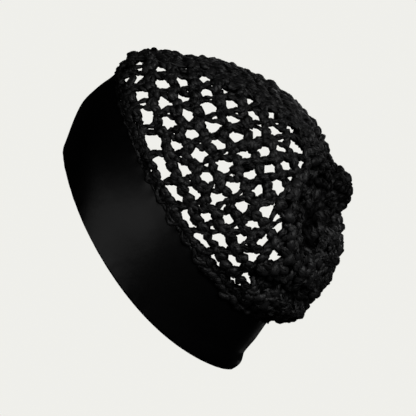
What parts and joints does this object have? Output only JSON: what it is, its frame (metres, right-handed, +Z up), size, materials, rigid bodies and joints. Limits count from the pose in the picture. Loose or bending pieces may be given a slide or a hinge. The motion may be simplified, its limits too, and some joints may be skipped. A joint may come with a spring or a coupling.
{
  "type": "sleep bonnet",
  "caption": "Sleep bonnet: a wide smooth satin band and an open crocheted net crown, slouched and gathered into a knob at the back.",
  "frame": {"origin": "middle of the head hollow, level with the middle of the band, where a head holds the bonnet", "axes": "+Z up as worn; +X towards the back of the head; the mid-plane is Y = 0; the face opening looks towards -X and -Z"},
  "size_m": [0.2362, 0.1806, 0.2629],
  "materials": {
    "satin": "black satin, smooth, with a broad soft sheen",
    "ribbon_yarn": "black crocheted ribbon yarn, lumpy, with a soft sheen on each stitch"
  },
  "bodies": {
    "root": {"band": "satin", "net_heading": "ribbon_yarn", "crown_net": "ribbon_yarn", "crown_gather": "ribbon_yarn"}
  },
  "joints": []
}
